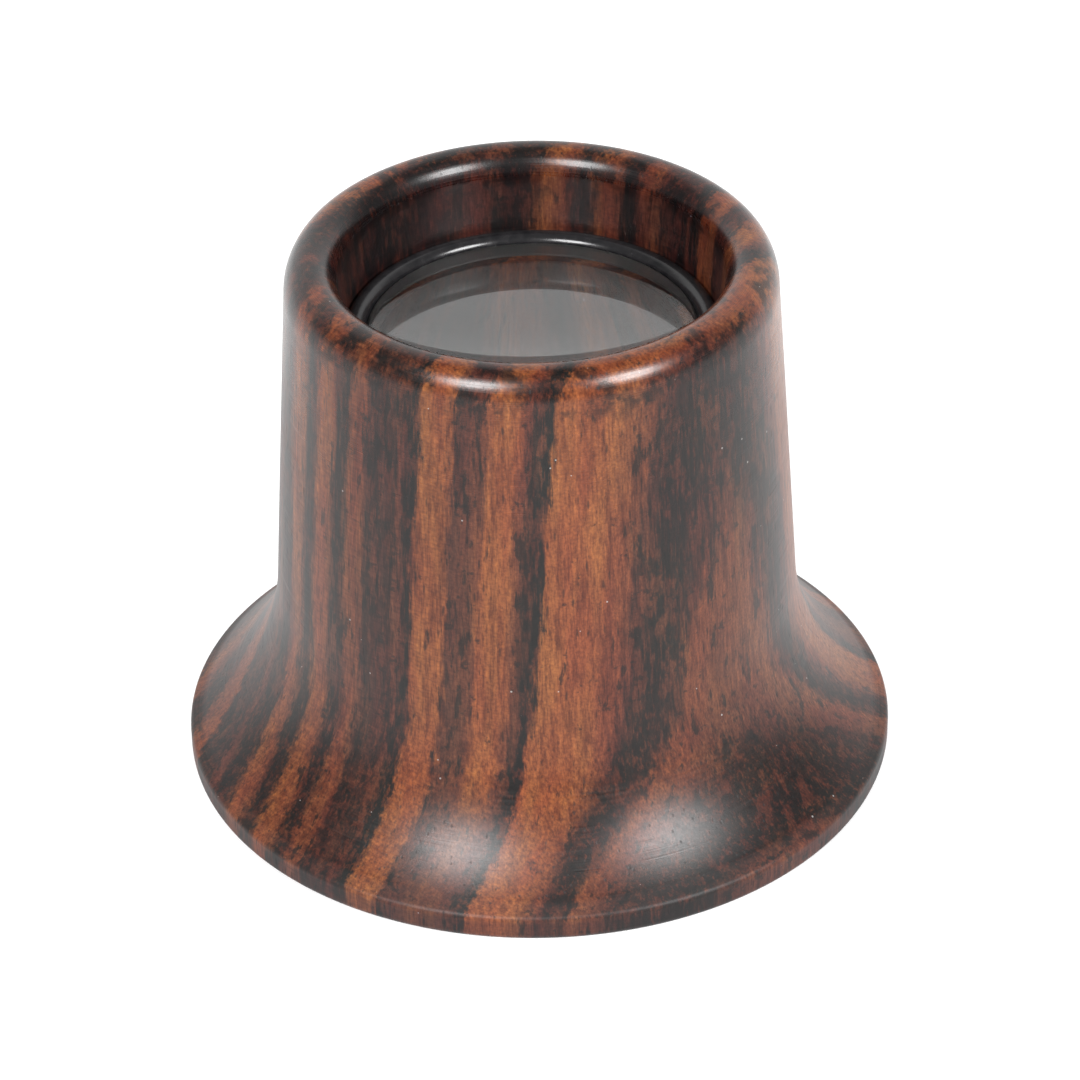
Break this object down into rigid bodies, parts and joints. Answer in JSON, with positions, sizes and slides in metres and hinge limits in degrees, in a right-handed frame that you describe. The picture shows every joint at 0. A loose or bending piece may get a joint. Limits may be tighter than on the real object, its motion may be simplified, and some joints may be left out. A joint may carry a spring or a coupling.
{
  "type": "jewelers loupe",
  "caption": "Turned wooden eye loupe: a flared eyecup and tapered barrel hold a biconvex lens, gripped by a black ring below a rounded lip.",
  "frame": {"origin": "centre of the eye rim's resting plane, on the loupe's axis", "axes": "+Z along the loupe's axis, from the eye rim to the narrow end; +X and +Y are equivalent, the figure of the wood apart"},
  "size_m": [0.038, 0.038, 0.0299],
  "materials": {
    "figured_wood": "satin, waxed, dark vertical figure",
    "lens_glass": "clear, polished, uncoated",
    "ring_black": "gloss black"
  },
  "bodies": {
    "body": {"wooden_body": "figured_wood"},
    "lens": {"magnifying_lens": "lens_glass"},
    "ring": {"retaining_ring": "ring_black"}
  },
  "joints": [
    {"name": "lens_lift_out", "type": "slide", "parent": "body", "child": "lens", "axis": [0, 0, 1], "range_m": [0, 0.012]},
    {"name": "ring_lift_out", "type": "slide", "parent": "body", "child": "ring", "axis": [0, 0, 1], "range_m": [0, 0.02]}
  ]
}
